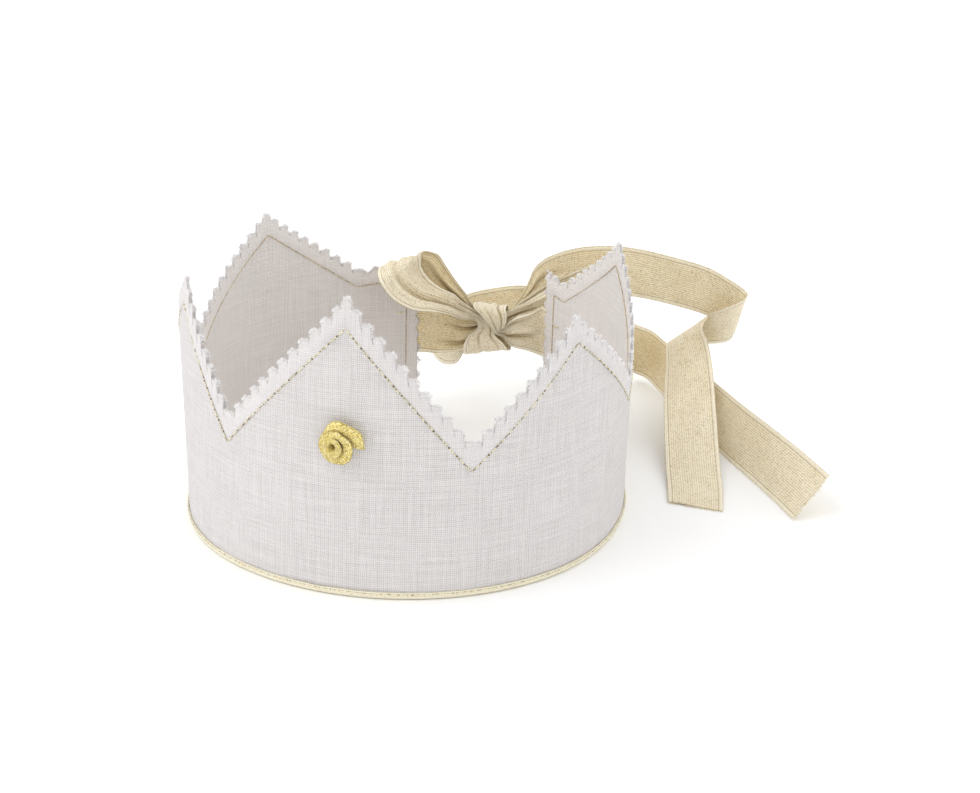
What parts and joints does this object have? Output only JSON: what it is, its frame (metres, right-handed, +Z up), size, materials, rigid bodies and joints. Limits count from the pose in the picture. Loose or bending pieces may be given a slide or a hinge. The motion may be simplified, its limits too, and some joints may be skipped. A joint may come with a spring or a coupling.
{
  "type": "fabric crown",
  "caption": "Sewn linen crown with pinked pointed top edge, gold topstitching, bound lower edge, a rolled ribbon rose in front and gold ribbons tied in a bow across the open back.",
  "frame": {"origin": "On the table inside the head opening, 80 mm behind the front of the lower edge.", "axes": "+Z up through the head opening, -Y towards the front with the rose, +Y towards the bow, +X to the right seen from the front."},
  "size_m": [0.2265, 0.2365, 0.1],
  "materials": {
    "linen": "plain weave linen",
    "stiffener": "felted",
    "binding": "woven gold tape",
    "thread": "gold thread",
    "ribbon": "ribbed metallic ribbon",
    "rose": "bright metallic ribbon"
  },
  "bodies": {
    "root": {"linen_outer": "linen", "lining": "linen", "interlining": "stiffener", "edge_binding": "binding", "seam_needle_thread": "thread", "seam_bobbin_thread": "thread", "binding_needle_thread": "thread", "binding_bobbin_thread": "thread", "ribbon_left": "ribbon", "ribbon_right": "ribbon", "ribbon_rose": "rose", "rose_tack_thread": "thread", "left_tack_thread": "thread", "right_tack_thread": "thread"}
  },
  "joints": []
}
